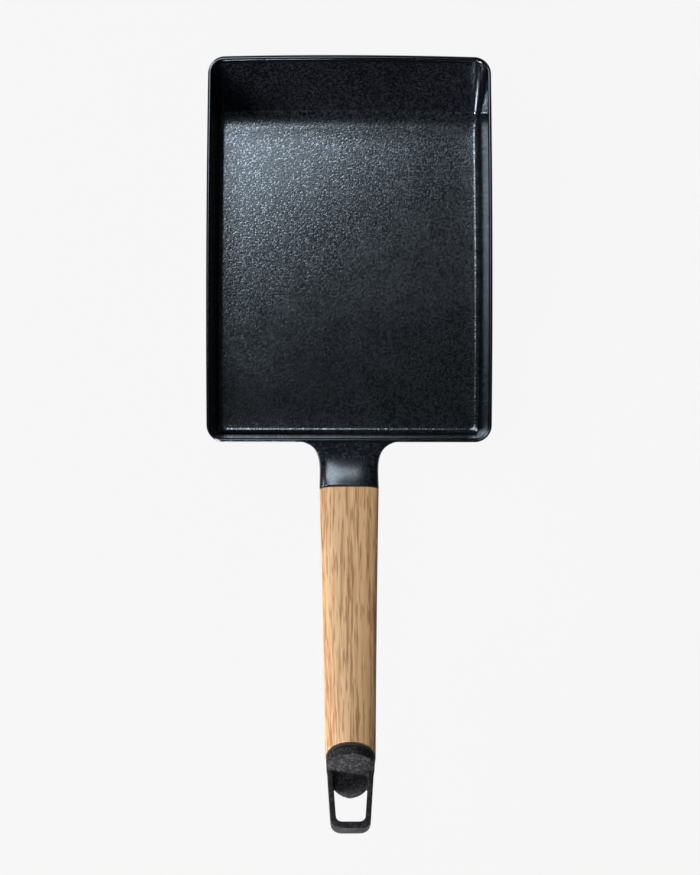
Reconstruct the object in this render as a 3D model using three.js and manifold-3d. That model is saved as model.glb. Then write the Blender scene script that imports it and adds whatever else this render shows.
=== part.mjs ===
// A rectangular omelette pan: an enamelled iron casting, an oak grip and a cast end cap with a hanging loop.
// Millimetres, +Z up. The origin is the middle of the flat base, the handle points along -Y.
import * as THREE from 'three';
import { mergeVertices } from 'three/addons/utils/BufferGeometryUtils.js';
import Module from 'manifold-3d';

const wasm = await Module();
wasm.setup();
const { lerp, clamp, degToRad, smoothstep } = THREE.MathUtils;

// Pan: outer sizes at the rim, the wall and floor of the casting, and the lean of its walls from upright.
const rimWidth = 143.4;
const rimLength = 194.3;
const panHeight = 36;
const wall = 2;
const floorThickness = 2.8;
const sideLean = degToRad(4.5);
const farLean = degToRad(35);
const rimCorner = 8.7;
const floorCorner = 3;
const cornerEase = 1.25;
const sideRun = 3;
const sideRise = 3;
const farRun = 8;
const farRise = 1.95;
const sideBow = 0.55;
const farTaper = 0.3;
const farBow = 0.8;

// Neck: the cast arm between the near wall and the grip, with a pocket underneath for the nut.
const handleRise = degToRad(26);
const neckDrop = 8.3;
const neckRoot = 1.65;
const neckRootDepth = 0.8;
const neckEase = 0.5;
const neckLift = 1.8;
const rimStep = 0.1;
const levelTo = 0.39;
const flareSide = 18.4;
const flarePull = 2.6;
const flareRise = 3;
const bulkhead = 6;
const pocketRoom = 4.8;
const spannerRoom = 0.8;

// Handle section, at the neck joint and at the tip: half width, height over and under the tie rod,
// and how far the widest line lies under the top.
const gripLength = 134.4;
const neckHalfWidth = 14.8;
const tipHalfWidth = 12.15;
const gripWaist = 0.2;
const neckTop = 9.5;
const tipTop = 8.5;
const neckBottom = 10.5;
const tipBottom = 10.3;
const neckCrown = 4.5;
const tipCrown = 6;
const neckCrownPower = 3.2;
const tipCrownPower = 2.1;
const bellyPower = 2;

// Joints: the keyed oval spigots that stop the grip turning, the gaskets and the room between pieces.
const spigotSide = 4.2;
const spigotWall = 1.9;
const spigotLength = 5;
const plugLength = 16;
const gasket = 0.6;
const gasketInset = 0.3;
const seatGap = 0.15;
const slideGap = 0.3;

// End cap: a slanted plate across the grip's end, and a hanging loop of flat section.
const slant = degToRad(47);
const capPlate = 3;
const capInset = 0.45;
const loopDrop = 7.3;
const loopDepth = 8.5;
const loopReach = 28.5;
const loopBand = 2.6;
const loopEndBand = 3.5;
const loopInset = 0.7;
const loopTaper = 1.75;
const loopCorner = 6;
const loopInnerCorner = 3.4;

// Tie rod and its fasteners, M6. Each rim is what a nut or washer has outside the thread.
const rodThread = 6;
const shankRelief = 0.35;
const rodInCap = 17;
const rodPastNut = 2.5;
const neckThread = 22;
const threadChamfer = 0.6;
const nutSides = 6;
const nutRim = 2;
const nutHeight = 5;
const washerRim = 3;
const washerHeight = 1.6;
const springRim = 2.3;
const springHeight = 1.6;
const springSlit = 1.2;

// How finely curves are cut.
const cornerSteps = 7;
const edgeSteps = 6;
const filletSteps = 7;
const rimSteps = 6;
const sectionSteps = 40;
const gripSteps = 10;
const neckSteps = 10;
const roundSteps = 28;

const steps = (count) => Array.from({ length: count + 1 }, (_, k) => k / count);
const power = (value, exponent) => Math.sign(value) * Math.abs(value) ** exponent;

// A parabola that is 0 at both ends of a span and 1 in the middle.
const bulge = (t) => 4 * t * (1 - t);

// A closed skin over rings of equally many points, capped at both ends by a fan round the middle.
function loft(rings) {
  const size = rings[0].length;
  const middle = (ring) => ring.reduce((sum, p) => sum.add(p), new THREE.Vector3()).divideScalar(size);
  const points = [...rings.flat(), middle(rings[0]), middle(rings.at(-1))];
  const last = (rings.length - 1) * size;
  const start = rings.length * size;
  const index = [];
  for (let i = 0; i < size; i++) {
    const next = (i + 1) % size;
    for (let row = 0; row < last; row += size) {
      index.push(row + i, row + next, row + size + next);
      index.push(row + i, row + size + next, row + size + i);
    }
    index.push(start, next, i);
    index.push(start + 1, last + i, last + next);
  }
  return new THREE.BufferGeometry().setFromPoints(points).setIndex(index);
}

function solid(geometry) {
  const bare = new THREE.BufferGeometry().setAttribute('position', geometry.getAttribute('position'));
  const merged = mergeVertices(bare.setIndex(geometry.index));
  const triVerts = new Uint32Array(merged.index.array);
  const vertProperties = merged.getAttribute('position').array;
  return new wasm.Manifold(new wasm.Mesh({ numProp: 3, vertProperties, triVerts }));
}

function piece(name, shape, material) {
  const { vertProperties, triVerts } = shape.getMesh();
  const geometry = new THREE.BufferGeometry()
    .setAttribute('position', new THREE.BufferAttribute(vertProperties, 3))
    .setIndex(new THREE.BufferAttribute(triVerts, 1));
  geometry.computeVertexNormals();
  const mesh = new THREE.Mesh(geometry, material);
  mesh.name = name;
  return mesh;
}

// Pan walls. A face of the casting leans straight down from the rim and runs out onto its foot in a parabola.
const outside = { foot: 0, setIn: 0, grow: wall };
const inside = { foot: floorThickness, setIn: wall, grow: 0 };
const sideFace = { lean: sideLean, run: sideRun, rise: sideRise };
const farFace = { lean: farLean, run: farRun, rise: farRise };

function runOut({ lean, run, rise }, grow) {
  const ease = grow * Math.tan((Math.PI / 2 - lean) / 2);
  return { run: run + ease, rise: rise + ease * Math.cos(lean) };
}

function insetAt(z, side, { foot, setIn, grow }) {
  const { run, rise } = runOut(side, grow);
  const climb = Math.sqrt(clamp((z - foot) / rise, 0, 1));
  return setIn / Math.cos(side.lean) + (panHeight - z) * Math.tan(side.lean) + run * (1 - climb) ** 2;
}

const insets = (z, skin) => ({ side: insetAt(z, sideFace, skin), far: insetAt(z, farFace, skin) });
const footing = insets(0, outside);
const nearRim = (footing.far + farBow - footing.side - rimLength) / 2;
const farRim = nearRim + rimLength - farBow;

// One outline of the pan seen from above: round corners joined by edges that bow outwards.
function panRing(z, inset) {
  const radius = Math.max(rimCorner - cornerEase * inset.side, floorCorner);
  const x = rimWidth / 2 - sideBow - inset.side - radius;
  const near = nearRim + inset.side + radius;
  const far = farRim - inset.far - radius;
  const [xFar, xNear] = [x - farTaper, x + farTaper];
  const corners = [[xFar, far], [-xFar, far], [-xNear, near], [xNear, near]];
  const bows = [[0, farBow], [-sideBow, 0], [0, 0], [sideBow, 0]];
  const arcs = corners.map(([cx, cy], k) => steps(cornerSteps).map((t) => {
    const turn = (k + t) * Math.PI / 2;
    return new THREE.Vector3(cx + radius * Math.cos(turn), cy + radius * Math.sin(turn), z);
  }));
  return arcs.flatMap((arc, k) => {
    const [from, to] = [arc.at(-1), arcs[(k + 1) % arcs.length][0]];
    const bow = new THREE.Vector3(...bows[k], 0);
    const edge = steps(edgeSteps).slice(1, -1);
    const along = (t) => from.clone().lerp(to, t).addScaledVector(bow, bulge(t));
    return [...arc, ...edge.map(along)];
  });
}

function panShell() {
  const filletRings = (skin) => {
    const top = Math.max(runOut(sideFace, skin.grow).rise, runOut(farFace, skin.grow).rise);
    const heights = steps(filletSteps).map((t) => skin.foot + top * t * t);
    return heights.map((z) => panRing(z, insets(z, skin)));
  };
  const shoulder = panHeight - wall / 2;
  const [outer, inner] = [insets(shoulder, outside), insets(shoulder, inside)];
  const rim = steps(rimSteps).map((t) => {
    const across = (1 - Math.cos(t * Math.PI)) / 2;
    const side = lerp(outer.side, inner.side, across);
    const far = lerp(outer.far, inner.far, across);
    return panRing(shoulder + wall / 2 * Math.sin(t * Math.PI), { side, far });
  });
  return solid(loft([...filletRings(outside), ...rim, ...filletRings(inside).reverse()]));
}

// Where things lie along the tie rod, measured from the neck joint towards the tip.
const gripStart = gasket + 2 * seatGap;
const washerEnd = -bulkhead - seatGap;
const springEnd = washerEnd - washerHeight - seatGap;
const nutEnd = springEnd - springHeight - seatGap;
const rodStart = nutEnd - nutHeight - rodPastNut;
const pocketStart = rodStart - pocketRoom;
const neckLength = neckRoot - pocketStart;
const plugStart = gripLength - plugLength;
const rodEnd = plugStart + rodInCap;
const capBack = gasket + 2 * seatGap;
const capFace = capBack + capPlate;

// What goes round the tie rod.
const rodBore = rodThread + 2 * slideGap;
const spigotHalfWidth = rodBore / 2 + spigotSide;
const spigotHalfHeight = rodBore / 2 + spigotWall;
const washerWidth = rodThread + 2 * washerRim;
const springWidth = rodThread + 2 * springRim;
const nutFlats = rodThread + 2 * nutRim;
const nutCorner = nutFlats / 2 / Math.cos(Math.PI / nutSides);

// Handle frame: its origin is on the tie rod at the neck joint, -Y runs to the tip and Z is the top.
const handle = new THREE.Group();
handle.position.y = nearRim - neckLength * Math.cos(handleRise) - neckTop * Math.sin(handleRise);
handle.position.z = panHeight - neckDrop + neckLength * Math.sin(handleRise) - neckTop * Math.cos(handleRise);
handle.rotation.x = -handleRise;
handle.updateMatrix();

// An egg-shaped section of the handle at a distance along it, made larger or smaller all round by grow.
function handleRing(distance, grow) {
  const t = distance / gripLength;
  const half = lerp(neckHalfWidth, tipHalfWidth, t) - gripWaist * bulge(t) + grow;
  const crown = lerp(neckCrown, tipCrown, t);
  const widest = lerp(neckTop, tipTop, t) - crown;
  const belly = lerp(neckBottom, tipBottom, t) + widest;
  const crownPower = lerp(neckCrownPower, tipCrownPower, clamp(t, 0, 1));
  return steps(sectionSteps).slice(1).map((share) => {
    const [x, z] = [Math.cos(2 * Math.PI * share), Math.sin(2 * Math.PI * share)];
    const [height, curve] = z > 0 ? [crown + grow, 2 / crownPower] : [belly + grow, 2 / bellyPower];
    return new THREE.Vector3(half * power(x, curve), -distance, widest + height * power(z, curve));
  });
}

const handleLength = (from, to, grow) =>
  solid(loft(steps(gripSteps).map((t) => handleRing(lerp(from, to, t), grow))));

const alongHandle = (shape, from, to) =>
  new THREE.ExtrudeGeometry(shape, { depth: to - from, bevelEnabled: false, curveSegments: roundSteps / 2 })
    .translate(0, 0, from).rotateX(Math.PI / 2);

const round = (diameter, from, to, sides = roundSteps) =>
  new THREE.CylinderGeometry(diameter / 2, diameter / 2, to - from, sides).translate(0, -(from + to) / 2, 0);

const oval = (grow, from, to) =>
  alongHandle(new THREE.Shape().absellipse(0, 0, spigotHalfWidth + grow, spigotHalfHeight + grow), from, to);

const ring = (bore, width, from, to) => {
  const profile = [[bore, -to], [width, -to], [width, -from], [bore, -from], [bore, -to]];
  return new THREE.LatheGeometry(profile.map(([d, y]) => new THREE.Vector2(d / 2, y)), roundSteps);
};

// Everything past the slanted plane that lies a given offset beyond the grip's end.
function pastSlant(offset) {
  const size = 2 * (gripLength + loopReach);
  const block = new THREE.BoxGeometry(size, size, size).translate(0, -size / 2 - offset, 0);
  return solid(block.rotateX(slant - Math.PI / 2).translate(0, -gripLength, tipTop));
}

const slantAt = (offset, height) =>
  gripLength + offset / Math.sin(slant) + (tipTop - height) / Math.tan(slant);
const tipReach = slantAt(capFace, -tipBottom);

// Neck: each line of the section runs back to the near wall and flares out along it. The lines of its top
// meet the wall just under the rim, so that the top is one flat sheet.
function neck() {
  const upWall = new THREE.Vector3(0, -Math.sin(sideLean), Math.cos(sideLean));
  const outward = new THREE.Vector3(0, -Math.cos(sideLean), -Math.sin(sideLean));
  const middleOfWall = new THREE.Vector3(0, nearRim + wall / 2, panHeight);
  const root = new THREE.Plane().setFromNormalAndCoplanarPoint(outward, middleOfWall);
  const toPan = new THREE.Vector3(0, 1, 0).transformDirection(handle.matrix);
  const lines = handleRing(0, 0).map((point, k, { length }) => {
    const turn = (k + 1) / length * 2 * Math.PI;
    const end = point.clone().applyMatrix4(handle.matrix);
    const low = neckTop - (neckTop - point.z) * neckRootDepth;
    const from = point.clone().setZ(low).applyMatrix4(handle.matrix);
    const foot = new THREE.Ray(from, toPan).intersectPlane(root, new THREE.Vector3());
    const level = smoothstep(Math.sin(turn), 0, levelTo);
    const toRim = (panHeight - rimStep - foot.z) / upWall.z;
    const flare = foot.clone().addScaledVector(upWall, lerp(flareRise * Math.sin(turn), toRim, level));
    const corner = foot.clone().addScaledVector(upWall, toRim * level);
    flare.x += flareSide * point.x / neckHalfWidth;
    corner.x -= flarePull * point.x / neckHalfWidth;
    const ease = foot.clone().lerp(end, neckEase);
    ease.z += neckLift * level;
    return new THREE.CubicBezierCurve3(flare, corner, ease, end);
  });
  return solid(loft(steps(neckSteps).map((t) => lines.map((line) => line.getPoint(t)))));
}

function panBody() {
  const radius = Math.max(nutCorner, washerWidth / 2, springWidth / 2) + spannerRoom;
  const underNeck = -2 * neckBottom;
  const pocket = new THREE.Shape().absarc(0, 0, radius, 0, Math.PI);
  pocket.lineTo(-radius, underNeck).lineTo(radius, underNeck);
  const onHandle = (geometry) => solid(geometry.applyMatrix4(handle.matrix));
  return panShell().add(neck())
    .add(onHandle(oval(0, -bulkhead / 2, spigotLength)))
    .subtract(onHandle(alongHandle(pocket, pocketStart, -bulkhead)))
    .subtract(onHandle(round(rodBore, -bulkhead - slideGap, spigotLength + slideGap)));
}

function neckGasket() {
  const rings = [seatGap, seatGap + gasket].map((distance) => handleRing(distance, -gasketInset));
  return solid(loft(rings)).subtract(solid(oval(slideGap, 0, gripStart)));
}

function grip() {
  return handleLength(gripStart, tipReach, 0).subtract(pastSlant(0))
    .subtract(solid(round(rodBore, 0, tipReach)))
    .subtract(solid(oval(slideGap, 0, spigotLength + slideGap)))
    .subtract(solid(oval(slideGap, plugStart - slideGap, tipReach + slideGap)));
}

function capGasket() {
  return handleLength(plugStart, tipReach, -gasketInset)
    .intersect(pastSlant(seatGap)).subtract(pastSlant(seatGap + gasket))
    .subtract(solid(oval(slideGap, plugStart, tipReach)));
}

// Hanging loop: a U of flat section, narrowing towards its rounded end.
function loop() {
  const top = tipTop - loopDrop;
  const rootHalf = tipHalfWidth - loopInset;
  const endHalf = rootHalf - loopTaper;
  const root = slantAt(capBack, top);
  const end = slantAt(capFace, top) + loopReach;
  const bend = (path, half, tip, corner, side) => path
    .lineTo(side * half, -tip + corner)
    .quadraticCurveTo(side * half, -tip, side * (half - corner), -tip)
    .lineTo(-side * (half - corner), -tip)
    .quadraticCurveTo(-side * half, -tip, -side * half, -tip + corner);
  const outline = new THREE.Shape().moveTo(-rootHalf, -root);
  bend(outline, endHalf, end, loopCorner, -1);
  outline.lineTo(rootHalf, -root).lineTo(rootHalf - loopBand, -root);
  bend(outline, endHalf - loopBand, end - loopEndBand, loopInnerCorner, 1);
  outline.lineTo(loopBand - rootHalf, -root);
  const extrusion = { depth: loopDepth, bevelEnabled: false, curveSegments: cornerSteps };
  const band = new THREE.ExtrudeGeometry(outline, extrusion);
  return solid(band.translate(0, 0, top - loopDepth)).intersect(pastSlant(capBack + capPlate / 2));
}

function endCap() {
  const plate = handleLength(plugStart, tipReach, -capInset).intersect(pastSlant(capBack));
  return plate.add(solid(oval(0, plugStart, tipReach))).subtract(pastSlant(capFace))
    .add(loop())
    .subtract(solid(round(rodBore, plugStart - slideGap, rodEnd + slideGap)));
}

function tieRod() {
  const rodShank = rodThread - 2 * shankRelief;
  const profile = [
    [0, rodEnd],
    [rodThread - 2 * threadChamfer, rodEnd],
    [rodThread, rodEnd - threadChamfer],
    [rodThread, plugStart],
    [rodShank, plugStart - threadChamfer],
    [rodShank, rodStart + neckThread + threadChamfer],
    [rodThread, rodStart + neckThread],
    [rodThread, rodStart + threadChamfer],
    [rodThread - 2 * threadChamfer, rodStart],
    [0, rodStart],
  ];
  return solid(new THREE.LatheGeometry(profile.map(([d, u]) => new THREE.Vector2(d / 2, -u)), roundSteps));
}

function springWasher() {
  const slitDepth = 2 * (springHeight + springSlit);
  const slit = new THREE.BoxGeometry(springSlit, slitDepth, springWidth)
    .rotateZ(Math.PI / 4).translate(0, -springEnd + springHeight / 2, springWidth / 2);
  return solid(ring(rodBore, springWidth, springEnd - springHeight, springEnd)).subtract(solid(slit));
}

function nut() {
  const block = solid(round(2 * nutCorner, nutEnd - nutHeight, nutEnd, nutSides));
  const rounded = [
    [0, nutEnd],
    [nutFlats, nutEnd],
    [2 * nutCorner, nutEnd - threadChamfer],
    [2 * nutCorner, nutEnd - nutHeight + threadChamfer],
    [nutFlats, nutEnd - nutHeight],
    [0, nutEnd - nutHeight],
  ];
  const turned = new THREE.LatheGeometry(rounded.map(([d, u]) => new THREE.Vector2(d / 2, -u)), roundSteps);
  return block.intersect(solid(turned)).subtract(solid(round(rodBore, rodStart, springEnd)));
}

const material = (color, roughness, metalness) =>
  new THREE.MeshStandardMaterial({ color, roughness, metalness });
const enamel = material(0x15181c, 0.45, 0.1);
const oak = material(0xbf9a70, 0.6, 0);
const capFinish = material(0x2c2e32, 0.6, 0.3);
const fibre = material(0x1d1b1a, 0.9, 0);
const steel = material(0xa7a9ab, 0.35, 1);

handle.add(
  piece('neck_gasket', neckGasket(), fibre),
  piece('grip', grip(), oak),
  piece('cap_gasket', capGasket(), fibre),
  piece('end_cap', endCap(), capFinish),
  piece('tie_rod', tieRod(), steel),
  piece('rod_washer', solid(ring(rodBore, washerWidth, washerEnd - washerHeight, washerEnd)), steel),
  piece('spring_washer', springWasher(), steel),
  piece('rod_nut', nut(), steel),
);
const pan = new THREE.Group();
pan.add(piece('pan_body', panBody(), enamel), handle);

export default pan;
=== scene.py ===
# %% [markdown]
# Rectangular omelette pan
#
# This lesson dresses a measured model of a small rectangular frying pan: an enamelled iron casting, an
# oak grip and a cast end cap with a hanging loop. The measured model gives every size and place. Here
# each piece gets its fine surface and its finish. Soft lamps and a camera that looks straight down come
# last.

# %% Load the measured model
from math import cos, pi, radians, sin, tan

import bmesh
import bpy
import numpy as np
from mathutils import Matrix, Vector


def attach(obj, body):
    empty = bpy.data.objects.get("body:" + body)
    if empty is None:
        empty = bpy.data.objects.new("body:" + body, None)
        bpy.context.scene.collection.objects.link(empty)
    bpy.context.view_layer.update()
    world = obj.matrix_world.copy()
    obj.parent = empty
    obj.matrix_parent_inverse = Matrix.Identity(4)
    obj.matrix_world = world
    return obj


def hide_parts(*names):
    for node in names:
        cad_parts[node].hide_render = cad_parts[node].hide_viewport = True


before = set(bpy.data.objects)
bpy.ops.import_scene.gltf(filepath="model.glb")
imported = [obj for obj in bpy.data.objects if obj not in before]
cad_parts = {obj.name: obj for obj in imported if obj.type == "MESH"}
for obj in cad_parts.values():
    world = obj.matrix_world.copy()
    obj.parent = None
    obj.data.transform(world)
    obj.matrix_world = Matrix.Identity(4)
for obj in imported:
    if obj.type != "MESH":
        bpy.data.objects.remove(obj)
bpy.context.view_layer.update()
MM = 0.001
print("pieces in the measured model:", ", ".join(sorted(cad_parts)))

# %% [markdown]
# Step 1: a few workshop helpers
#
# Almost every piece is a loft: a stack of outlines with equally many points, skinned with quads and
# closed at both ends. Lofting from formulas keeps curves smooth without a modelling session, and it
# repeats the measured sizes exactly. Sizes are written in millimetres and become metres when a mesh is
# made.

# %% Meshes from outlines, cuts and shading
SHARP = radians(38)
SQUARE = ((-1, -1), (1, -1), (1, 1), (-1, 1))


def new_piece(name, points, faces):
    """A mesh object at the origin, made of points in millimetres, with its faces turned outwards."""
    mesh = bpy.data.meshes.new(name)
    mesh.from_pydata((np.asarray(points, float) * MM).tolist(), [], faces)
    turn_outwards(mesh)
    piece = bpy.data.objects.new(name, mesh)
    bpy.context.scene.collection.objects.link(piece)
    return piece


def turn_outwards(mesh):
    shape = bmesh.new()
    shape.from_mesh(mesh)
    bmesh.ops.recalc_face_normals(shape, faces=shape.faces)
    shape.to_mesh(mesh)
    shape.free()


def loft(name, rings):
    """Skins outlines of equally many points, and closes both ends with one flat face each."""
    count = len(rings[0])
    faces = [list(range(count)), list(range((len(rings) - 1) * count, len(rings) * count))]
    for row in range(len(rings) - 1):
        for k in range(count):
            low, high = row * count, (row + 1) * count
            after = (k + 1) % count
            faces.append([low + k, low + after, high + after, high + k])
    return new_piece(name, np.concatenate(rings), faces)


def settle(piece):
    """Turns a piece's modifiers into plain mesh."""
    deps = bpy.context.evaluated_depsgraph_get()
    mesh = bpy.data.meshes.new_from_object(piece.evaluated_get(deps))
    piece.modifiers.clear()
    piece.data = mesh
    return piece


def combine(piece, tool, operation):
    """Joins, cuts or keeps the overlap of two closed pieces, and removes the second one."""
    modifier = piece.modifiers.new(operation.lower(), "BOOLEAN")
    modifier.operation = operation
    modifier.solver = "EXACT"
    modifier.object = tool
    settle(piece)
    bpy.data.objects.remove(tool)
    return piece


def polish(piece, material, node, angle=SHARP):
    """Shades a finished piece, gives it its material and lets it stand for its measured solid."""
    mesh = piece.data
    piece.name = node + "_look"
    mesh.shade_smooth()
    mesh.set_sharp_from_angle(angle=angle)
    mesh.materials.clear()
    mesh.materials.append(material)
    mesh.polygons.foreach_set("material_index", np.zeros(len(mesh.polygons), np.int32))
    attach(piece, "root")
    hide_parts(node)
    mesh.calc_loop_triangles()
    print(f"{piece.name}: {len(mesh.loop_triangles)} triangles")


print("helpers ready")

# %% [markdown]
# Step 2: arithmetic with nodes
#
# Materials and Geometry Nodes both need long sums, and Math nodes wired one by one are hard to read. A
# small class lets a socket take part in plain arithmetic, and a few helpers add nodes, set them and
# link them.

# %% Node arithmetic


class Field:
    """A node socket that takes part in plain arithmetic: each sign adds one Math node to its tree."""

    def __init__(self, tree, socket):
        self.tree = tree
        self.socket = socket

    def math(self, operation, *values):
        node = self.tree.nodes.new("ShaderNodeMath")
        node.operation = operation
        for slot, value in zip(node.inputs, values):
            plug(self.tree, slot, value)
        return Field(self.tree, node.outputs[0])

    def __add__(self, other):
        return self.math("ADD", self, other)

    def __sub__(self, other):
        return self.math("SUBTRACT", self, other)

    def __rsub__(self, other):
        return self.math("SUBTRACT", other, self)

    def __mul__(self, other):
        return self.math("MULTIPLY", self, other)

    def __rmul__(self, other):
        return self.math("MULTIPLY", other, self)

    def __truediv__(self, other):
        return self.math("DIVIDE", self, other)

    def __rtruediv__(self, other):
        return self.math("DIVIDE", other, self)

    def __pow__(self, other):
        return self.math("POWER", self, other)

    def call(self, operation, *others):
        return self.math(operation, self, *others)


def plug(tree, slot, value):
    """Sets a socket to a number or colour, or links a field to it."""
    if isinstance(value, Field):
        tree.links.new(value.socket, slot)
    else:
        slot.default_value = value


def add_node(tree, kind, settings=None, **inputs):
    """Adds a node, sets its properties, and plugs inputs by name with _ for a space."""
    node = tree.nodes.new(kind)
    for key, value in (settings or {}).items():
        setattr(node, key, value)
    for key, value in inputs.items():
        plug(tree, node.inputs[key.replace("_", " ")], value)
    return node


def out(tree, node, name=0):
    return Field(tree, node.outputs[name])


def remap(tree, value, low, high, to_low=0.0, to_high=1.0, style="SMOOTHSTEP"):
    node = add_node(tree, "ShaderNodeMapRange", {"interpolation_type": style}, Value=value)
    for slot, number in zip(("From Min", "From Max", "To Min", "To Max"), (low, high, to_low, to_high)):
        node.inputs[slot].default_value = number
    return out(tree, node, "Result")


def new_group(kind, name, takes, gives):
    """A node group with named sockets; returns the tree, its input fields by name and its output node."""
    tree = bpy.data.node_groups.new(name, kind)
    for title, socket, start in takes:
        item = tree.interface.new_socket(title, in_out="INPUT", socket_type=socket)
        if start is not None:
            item.default_value = start
    for title, socket in gives:
        tree.interface.new_socket(title, in_out="OUTPUT", socket_type=socket)
    start_node = tree.nodes.new("NodeGroupInput")
    end_node = tree.nodes.new("NodeGroupOutput")
    return tree, {title: out(tree, start_node, title) for title, _, _ in takes}, end_node


print("node arithmetic ready")

# %% [markdown]
# Step 3: one grain for every casting
#
# Enamel and paint on cast iron are never glass smooth: the surface is covered in soft pebbles well
# under a millimetre across. A shader node group holds that grain once, and each finish sets its own
# size. It puts out a height for a Bump node, a slow mottle for roughness, and a fleck, which is one
# chance value per pebble.

# %% Grain group
PEBBLE_SHARE, PEBBLE_SMOOTHNESS = 0.65, 0.4
MOTTLE_SPREAD = 0.045
RIPPLE_DETAIL, MOTTLE_DETAIL = 2.0, 3.0
grain_tree, grain_in, grain_out = new_group(
    "ShaderNodeTree",
    "casting_grain",
    [("Vector", "NodeSocketVector", None), ("Pebbles per metre", "NodeSocketFloat", 1300.0)],
    [("Height", "NodeSocketFloat"), ("Mottle", "NodeSocketFloat"), ("Fleck", "NodeSocketFloat")],
)
pebbles = add_node(
    grain_tree, "ShaderNodeTexVoronoi", {"feature": "SMOOTH_F1"},
    Vector=grain_in["Vector"], Scale=grain_in["Pebbles per metre"], Smoothness=PEBBLE_SMOOTHNESS,
)
ripple = add_node(
    grain_tree, "ShaderNodeTexNoise",
    Vector=grain_in["Vector"], Scale=grain_in["Pebbles per metre"], Detail=RIPPLE_DETAIL,
)
slow = add_node(
    grain_tree, "ShaderNodeTexNoise",
    Vector=grain_in["Vector"],
    Scale=grain_in["Pebbles per metre"] * MOTTLE_SPREAD,
    Detail=MOTTLE_DETAIL,
)
domes = 1.0 - out(grain_tree, pebbles, "Distance")
height = PEBBLE_SHARE * domes + (1 - PEBBLE_SHARE) * out(grain_tree, ripple)
plug(grain_tree, grain_out.inputs["Height"], height)
plug(grain_tree, grain_out.inputs["Mottle"], out(grain_tree, slow))
chance = add_node(grain_tree, "ShaderNodeSeparateColor", Color=out(grain_tree, pebbles, "Color"))
plug(grain_tree, grain_out.inputs["Fleck"], out(grain_tree, chance, "Red"))
print("grain group:", len(grain_tree.nodes), "nodes")

# %% [markdown]
# Step 4: the tray's sizes
#
# Every outline of the tray is the rim's outline moved inwards. A wall leans straight down from the rim
# and runs out onto its foot in a parabola: short on the three steep sides, long and flat on the sloped
# far side. The same rule serves the outside and the inside of the casting.

# %% Sizes of the tray
RIM_WIDTH, RIM_LENGTH, PAN_HEIGHT = 143.4, 194.3, 36.0
WALL, FLOOR = 2.0, 2.8
SIDE_FACE = {"lean": radians(4.5), "run": 3.0, "rise": 3.0}
FAR_FACE = {"lean": radians(35), "run": 8.0, "rise": 1.95}
RIM_CORNER, FLOOR_CORNER, CORNER_EASE = 8.7, 3.0, 1.25
SIDE_BOW, FAR_TAPER, FAR_BOW = 0.55, 0.3, 0.8
OUTSIDE = {"foot": 0.0, "set_in": 0.0, "grow": WALL}
INSIDE = {"foot": FLOOR, "set_in": WALL, "grow": 0.0}


def run_out(face, grow):
    """Run and rise of the parabola that takes a face out onto its foot, on a skin grown outwards."""
    ease = grow * tan((pi / 2 - face["lean"]) / 2)
    return face["run"] + ease, face["rise"] + ease * cos(face["lean"])


def inset_at(z, face, skin):
    """How far a face of the casting lies inside the rim's outline at a height."""
    run, rise = run_out(face, skin["grow"])
    climb = min(max((z - skin["foot"]) / rise, 0), 1) ** 0.5
    straight = skin["set_in"] / cos(face["lean"]) + (PAN_HEIGHT - z) * tan(face["lean"])
    return straight + run * (1 - climb) ** 2


NEAR_RIM = (inset_at(0, FAR_FACE, OUTSIDE) + FAR_BOW - inset_at(0, SIDE_FACE, OUTSIDE) - RIM_LENGTH) / 2
FAR_RIM = NEAR_RIM + RIM_LENGTH - FAR_BOW
print(f"the rim runs from y = {NEAR_RIM:.2f} to {FAR_RIM + FAR_BOW:.2f} mm")

# %% [markdown]
# Step 5: tools for materials
#
# Every finish starts from one Principled shader and takes its pattern from Object coordinates, so the
# pattern stays with the piece. These helpers make a material, call the grain group, blend colours and
# add bump.

# %% Material helpers
MIX_SLOTS, MIX_RESULT = (0, 6, 7), 2


def new_material(name):
    """A material with one Principled shader; returns the material, its tree and the shader."""
    material = bpy.data.materials.new(name)
    material.use_nodes = True
    tree = material.node_tree
    return material, tree, tree.nodes["Principled BSDF"]


def object_place(tree):
    return out(tree, tree.nodes.new("ShaderNodeTexCoord"), "Object")


def use_grain(tree, place, pebbles_per_metre):
    node = tree.nodes.new("ShaderNodeGroup")
    node.node_tree = grain_tree
    plug(tree, node.inputs["Vector"], place)
    node.inputs["Pebbles per metre"].default_value = pebbles_per_metre
    return out(tree, node, "Height"), out(tree, node, "Mottle"), out(tree, node, "Fleck")


def blend_colours(tree, share, first, second):
    node = add_node(tree, "ShaderNodeMix", {"data_type": "RGBA"})
    for slot, value in zip(MIX_SLOTS, (share, first, second)):
        plug(tree, node.inputs[slot], value)
    return Field(tree, node.outputs[MIX_RESULT])


def rough_up(tree, shader, height, depth):
    """Feeds a height of 0 to 1 to the shader as bump of a depth in metres."""
    node = add_node(tree, "ShaderNodeBump", Strength=1.0, Distance=depth, Height=height)
    tree.links.new(node.outputs["Normal"], shader.inputs["Normal"])


print("material helpers ready")

# %% [markdown]
# Step 6: black enamel
#
# The enamel is nearly black and takes most of its look from reflections. On the cooking floor, the far
# wall and the neck the grain is plain to see, and on the other walls and the rim the glaze flows
# smoother. Some pebbles of the floor and the neck glint like metal. Place on the casting tells those
# areas apart, so one material covers it all.

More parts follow.
